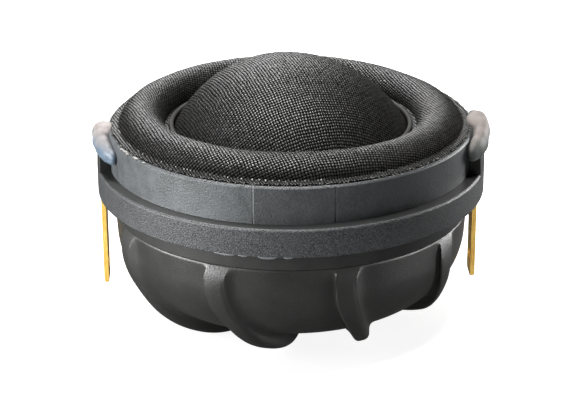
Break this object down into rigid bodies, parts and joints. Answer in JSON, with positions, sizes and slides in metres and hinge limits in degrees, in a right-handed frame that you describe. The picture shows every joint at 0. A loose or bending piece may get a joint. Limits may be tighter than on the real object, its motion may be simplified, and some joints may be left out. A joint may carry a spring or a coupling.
{
  "type": "dome tweeter",
  "caption": "Compact car-audio tweeter: a woven cloth dome and half-roll surround in a flanged plastic chassis, with a finned rear chamber and gold blade terminals.",
  "frame": {"origin": "on the dome's axis, level with the lowest points of the rear chamber's fins", "axes": "+Z along the dome axis towards the listener, terminals at -X and +X, front -Y"},
  "size_m": [0.043, 0.042, 0.0283],
  "materials": {
    "cloth": "coated plain weave",
    "chassis_plastic": "fine spark-eroded texture",
    "ring_plastic": "smooth satin",
    "chamber_plastic": "satin",
    "seal_rubber": "matte",
    "felt": "felted",
    "motor_steel": "zinc plated",
    "nickel_plate": "nickel plated",
    "copper": "drawn",
    "vent_brass": "turned",
    "gold_plate": "gold plated",
    "solder": "reflowed",
    "glue": "cured, cloudy",
    "bead_glue": "cured",
    "former_film": "polyimide film"
  },
  "bodies": {
    "chassis": {"chassis_flange": "chassis_plastic", "diaphragm_ring": "ring_plastic", "rear_chamber": "chamber_plastic", "chamber_gasket": "seal_rubber", "chamber_damping": "felt", "yoke_pot": "motor_steel", "magnet": "nickel_plate", "pole_plate": "motor_steel", "copper_cap": "copper", "vent_tube": "vent_brass", "dome_damping_pad": "felt", "surround_damping_ring": "felt", "surround_roll": "cloth", "terminal_left": "gold_plate", "terminal_right": "gold_plate", "solder_joint_left": "solder", "solder_joint_right": "solder", "glue_blob_left": "glue", "glue_blob_right": "glue", "lead_wire_left": "copper", "lead_wire_right": "copper"},
    "diaphragm": {"dome": "cloth", "coil_former": "former_film", "coil_winding": "copper", "coil_glue_bead": "bead_glue"}
  },
  "joints": [
    {"name": "diaphragm_travel", "type": "slide", "parent": "chassis", "child": "diaphragm", "axis": [0, 0, 1], "range_m": [-0.0004, 0.0004], "stiffness_N_per_m": 8000, "deforming": ["surround_roll", "lead_wire_left", "lead_wire_right"]}
  ]
}
